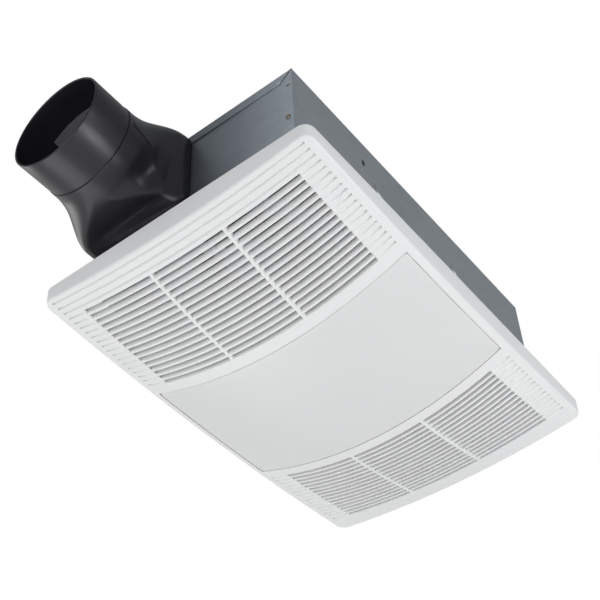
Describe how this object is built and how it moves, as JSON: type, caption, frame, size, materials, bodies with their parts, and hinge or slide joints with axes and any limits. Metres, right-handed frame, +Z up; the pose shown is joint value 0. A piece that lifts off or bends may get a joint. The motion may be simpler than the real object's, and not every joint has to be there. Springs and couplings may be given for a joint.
{
  "type": "bathroom heater exhaust fan",
  "caption": "Ceiling bathroom exhaust fan and heater in a galvanised housing, with a domed louvred cover, light lens, blower, heating element, damper flap and round duct connector",
  "frame": {"origin": "Middle of the ceiling opening, in the plane of the ceiling; the housing is above it and the cover hangs below it", "axes": "+Z up, X along the housing with the duct connector at -X, Y across the housing"},
  "size_m": [0.5379, 0.298, 0.1964],
  "materials": {
    "cover_plastic": "satin white",
    "lens": "opal white",
    "tray_paint": "white paint",
    "galvanised": "galvanised sheet",
    "black_plastic": "satin black",
    "flap_plastic": "dark grey",
    "steel": "zinc plated",
    "spring_steel": "drawn wire",
    "aluminium": "mill finish",
    "motor_paint": "black paint",
    "holder": "brown phenolic",
    "led": "phosphor",
    "white_plastic": "white"
  },
  "bodies": {
    "housing": {"blower_plate": "galvanised", "blower_screw_1": "steel", "blower_screw_2": "steel", "blower_screw_3": "steel", "blower_screw_4": "steel", "blower_scroll": "galvanised", "bracket_screw_1": "steel", "bracket_screw_2": "steel", "bracket_screw_3": "steel", "duct_collar": "black_plastic", "duct_connector": "black_plastic", "element_bar_1": "aluminium", "element_bar_2": "aluminium", "element_bar_3": "aluminium", "element_bar_4": "aluminium", "element_fin_1": "aluminium", "element_fin_2": "aluminium", "element_fin_3": "aluminium", "element_holder_back": "holder", "element_holder_front": "holder", "end_plate_duct": "galvanised", "end_plate_far": "galvanised", "exhaust_motor": "motor_paint", "exhaust_motor_bracket": "galvanised", "flange_rivet_1": "steel", "flange_rivet_2": "steel", "flange_rivet_3": "steel", "flange_rivet_4": "steel", "heater_duct": "galvanised", "heater_motor": "motor_paint", "heater_motor_bracket": "galvanised", "housing_wrap": "galvanised", "partition": "galvanised", "spring_slot_back": "galvanised", "spring_slot_front": "galvanised", "thermal_cutout": "flap_plastic", "wiring_cover": "galvanised", "wiring_socket": "white_plastic"},
    "exhaust_rotor": {"exhaust_wheel": "flap_plastic", "exhaust_shaft": "steel"},
    "heater_rotor": {"heater_fan": "flap_plastic", "heater_shaft": "steel"},
    "damper": {"damper_flap": "flap_plastic"},
    "cover_assembly": {"cover": "cover_plastic", "led_board": "aluminium", "led_driver": "white_plastic", "led_strip_1": "led", "led_strip_2": "led", "led_strip_3": "led", "light_lens": "lens", "light_tray": "tray_paint", "spring_saddle_back": "steel", "spring_saddle_front": "steel", "torsion_spring_back": "spring_steel", "torsion_spring_front": "spring_steel", "tray_screw_1": "steel", "tray_screw_2": "steel", "tray_screw_3": "steel", "tray_screw_4": "steel"}
  },
  "joints": [
    {"name": "exhaust_spin", "type": "hinge", "parent": "housing", "child": "exhaust_rotor", "pos_m": [-0.11, 0, 0.083], "axis": [0, 0, 1], "continuous": true},
    {"name": "heater_spin", "type": "hinge", "parent": "housing", "child": "heater_rotor", "pos_m": [0.1167, 0.006, 0.066], "axis": [0, 0, 1], "continuous": true},
    {"name": "damper_swing", "type": "hinge", "parent": "housing", "child": "damper", "pos_m": [-0.2649, 0.0573, 0.0938], "axis": [0, 1, 0], "range_deg": [0, 70]},
    {"name": "cover_pull", "type": "slide", "parent": "housing", "child": "cover_assembly", "axis": [0, 0, -1], "range_m": [0, 0.08], "stiffness_N_per_m": 160, "springref_m": -0.16, "deforming": ["torsion_spring_front", "torsion_spring_back"]}
  ]
}
